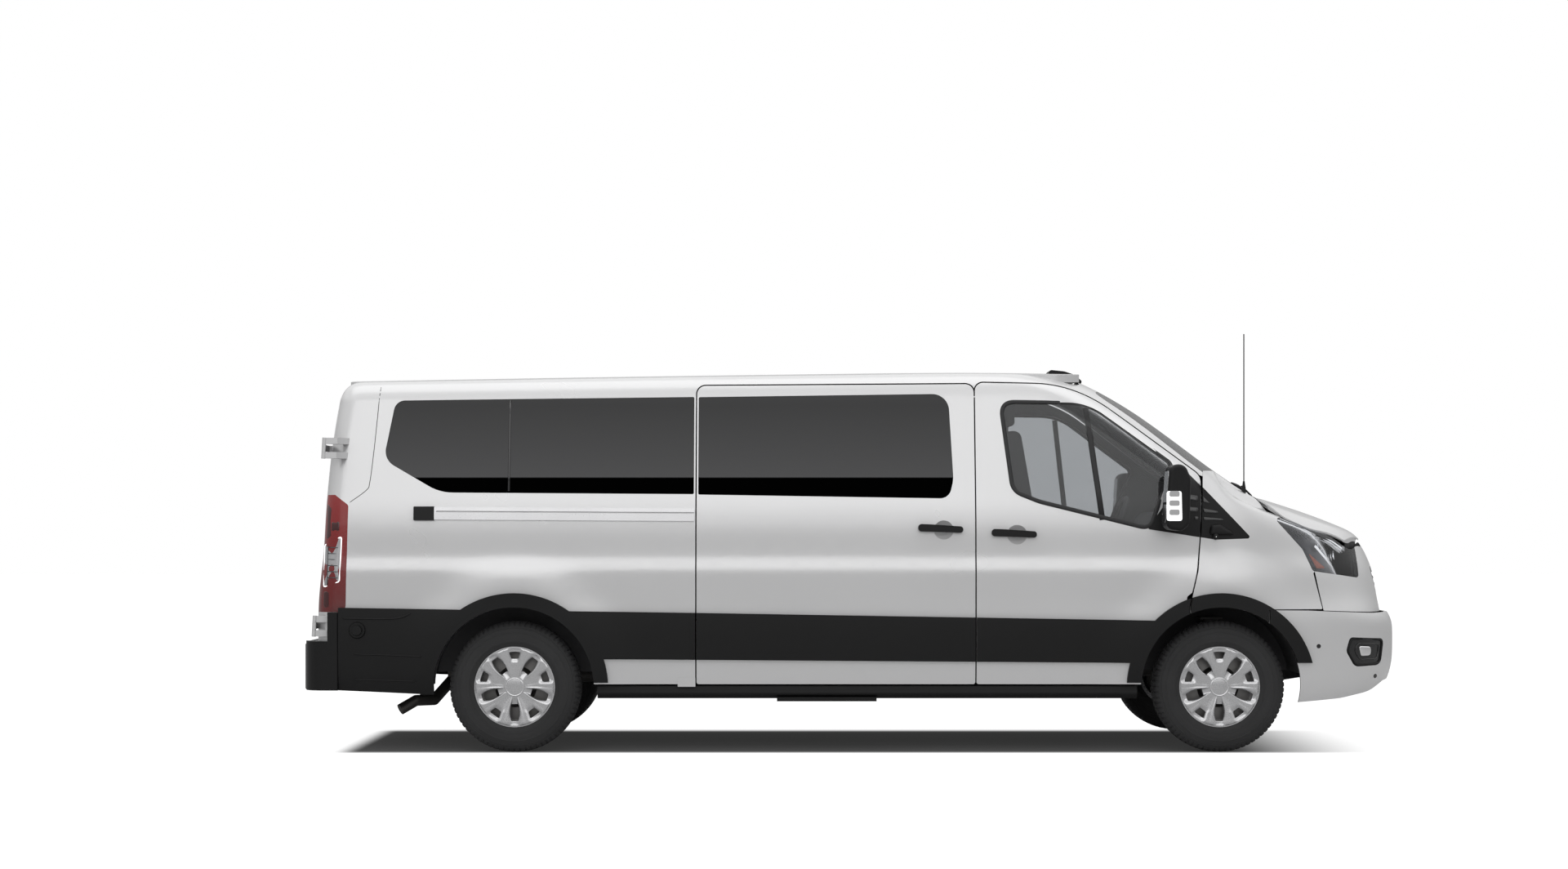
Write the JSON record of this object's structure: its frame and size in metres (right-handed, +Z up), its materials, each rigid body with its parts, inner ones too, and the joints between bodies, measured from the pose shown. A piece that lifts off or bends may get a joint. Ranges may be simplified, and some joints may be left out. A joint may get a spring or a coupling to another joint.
{
  "type": "minibus",
  "caption": "Low-roof long-wheelbase passenger minibus with seats, sliding side door, twin rear doors and steering front wheels.",
  "frame": {"origin": "on the ground under the middle of the vehicle's overall length, in its middle plane", "axes": "+X to the front, +Y to the vehicle's left, +Z up"},
  "size_m": [5.981, 2.474, 2.236],
  "materials": {
    "body_paint": "gloss",
    "floor_paint": "satin",
    "black_trim": "satin",
    "tinted_glass": "gloss",
    "clear_glass": "gloss",
    "lamp_clear": "gloss",
    "lamp_red": "gloss",
    "grille_black": "gloss",
    "bright_rail": "brushed",
    "chassis_black": "satin",
    "cast_metal": "rough",
    "exhaust_steel": "satin",
    "tank_plastic": "matte",
    "seat_cloth": "woven",
    "dash_plastic": "matte",
    "tyre_rubber": "matte",
    "wheel_silver": "satin"
  },
  "bodies": {
    "body": {"body_side_right": "body_paint", "body_side_left": "body_paint", "roof": "body_paint", "floor_pan": "floor_paint", "windscreen": "clear_glass", "sliding_door": "body_paint", "side_glass": "tinted_glass", "fenders": "body_paint", "front_bumper": "body_paint", "grille": "grille_black", "headlamps": "lamp_clear", "rear_bumper": "black_trim", "tail_lamps": "lamp_red", "side_cladding": "black_trim", "slider_rail": "bright_rail", "screen_trim": "black_trim", "chassis_frame": "chassis_black", "front_suspension": "cast_metal", "rear_axle": "cast_metal", "engine": "cast_metal", "fuel_tank": "tank_plastic", "exhaust": "exhaust_steel", "dashboard": "dash_plastic", "front_seats": "seat_cloth", "rear_seats": "seat_cloth"},
    "front_door_right": {"front_door_right": "body_paint", "front_door_glass_right": "clear_glass", "front_door_cladding_right": "black_trim", "mirror_right": "black_trim"},
    "rear_door_right": {"rear_door_right": "body_paint", "rear_door_glass_right": "tinted_glass"},
    "knuckle_right": {"knuckle_right": "cast_metal"},
    "wheel_front_right": {"tyre_front_right": "tyre_rubber", "wheel_front_right": "wheel_silver"},
    "wheel_rear_right": {"tyre_rear_right": "tyre_rubber", "wheel_rear_right": "wheel_silver"},
    "front_door_left": {"front_door_left": "body_paint", "front_door_glass_left": "clear_glass", "front_door_cladding_left": "black_trim", "mirror_left": "black_trim"},
    "rear_door_left": {"rear_door_left": "body_paint", "rear_door_glass_left": "tinted_glass"},
    "knuckle_left": {"knuckle_left": "cast_metal"},
    "wheel_front_left": {"tyre_front_left": "tyre_rubber", "wheel_front_left": "wheel_silver"},
    "wheel_rear_left": {"tyre_rear_left": "tyre_rubber", "wheel_rear_left": "wheel_silver"},
    "bonnet": {"bonnet": "body_paint"}
  },
  "joints": [
    {"name": "steer_right", "type": "hinge", "parent": "body", "child": "knuckle_right", "pos_m": [1.9675, -0.78, 0.25], "axis": [0, 0, 1], "range_deg": [-35, 35]},
    {"name": "roll_front_right", "type": "hinge", "parent": "knuckle_right", "child": "wheel_front_right", "pos_m": [1.9675, -0.866, 0.35], "axis": [0, 1, 0], "continuous": true},
    {"name": "roll_rear_right", "type": "hinge", "parent": "body", "child": "wheel_rear_right", "pos_m": [-1.7825, -0.8715, 0.35], "axis": [0, 1, 0], "continuous": true},
    {"name": "open_front_door_right", "type": "hinge", "parent": "body", "child": "front_door_right", "pos_m": [1.89, -0.968, 1], "axis": [0, 0, 1], "range_deg": [0, 70]},
    {"name": "open_rear_door_right", "type": "hinge", "parent": "body", "child": "rear_door_right", "pos_m": [-2.848, -0.975, 0.654], "axis": [0.0538, 0, 0.9985], "range_deg": [0, 235]},
    {"name": "steer_left", "type": "hinge", "parent": "body", "child": "knuckle_left", "pos_m": [1.9675, 0.78, 0.25], "axis": [0, 0, 1], "range_deg": [-35, 35]},
    {"name": "roll_front_left", "type": "hinge", "parent": "knuckle_left", "child": "wheel_front_left", "pos_m": [1.9675, 0.866, 0.35], "axis": [0, 1, 0], "continuous": true},
    {"name": "roll_rear_left", "type": "hinge", "parent": "body", "child": "wheel_rear_left", "pos_m": [-1.7825, 0.8715, 0.35], "axis": [0, 1, 0], "continuous": true},
    {"name": "open_front_door_left", "type": "hinge", "parent": "body", "child": "front_door_left", "pos_m": [1.89, 0.968, 1], "axis": [0, 0, -1], "range_deg": [0, 70]},
    {"name": "open_rear_door_left", "type": "hinge", "parent": "body", "child": "rear_door_left", "pos_m": [-2.848, 0.975, 0.654], "axis": [-0.0538, 0, -0.9985], "range_deg": [0, 235]},
    {"name": "open_bonnet", "type": "hinge", "parent": "body", "child": "bonnet", "pos_m": [2.1705, 0, 1.352], "axis": [0, -1, 0], "range_deg": [0, 55]}
  ],
  "couplings": [
    {"joint": "steer_left", "follows": "steer_right", "ratio": 1}
  ]
}
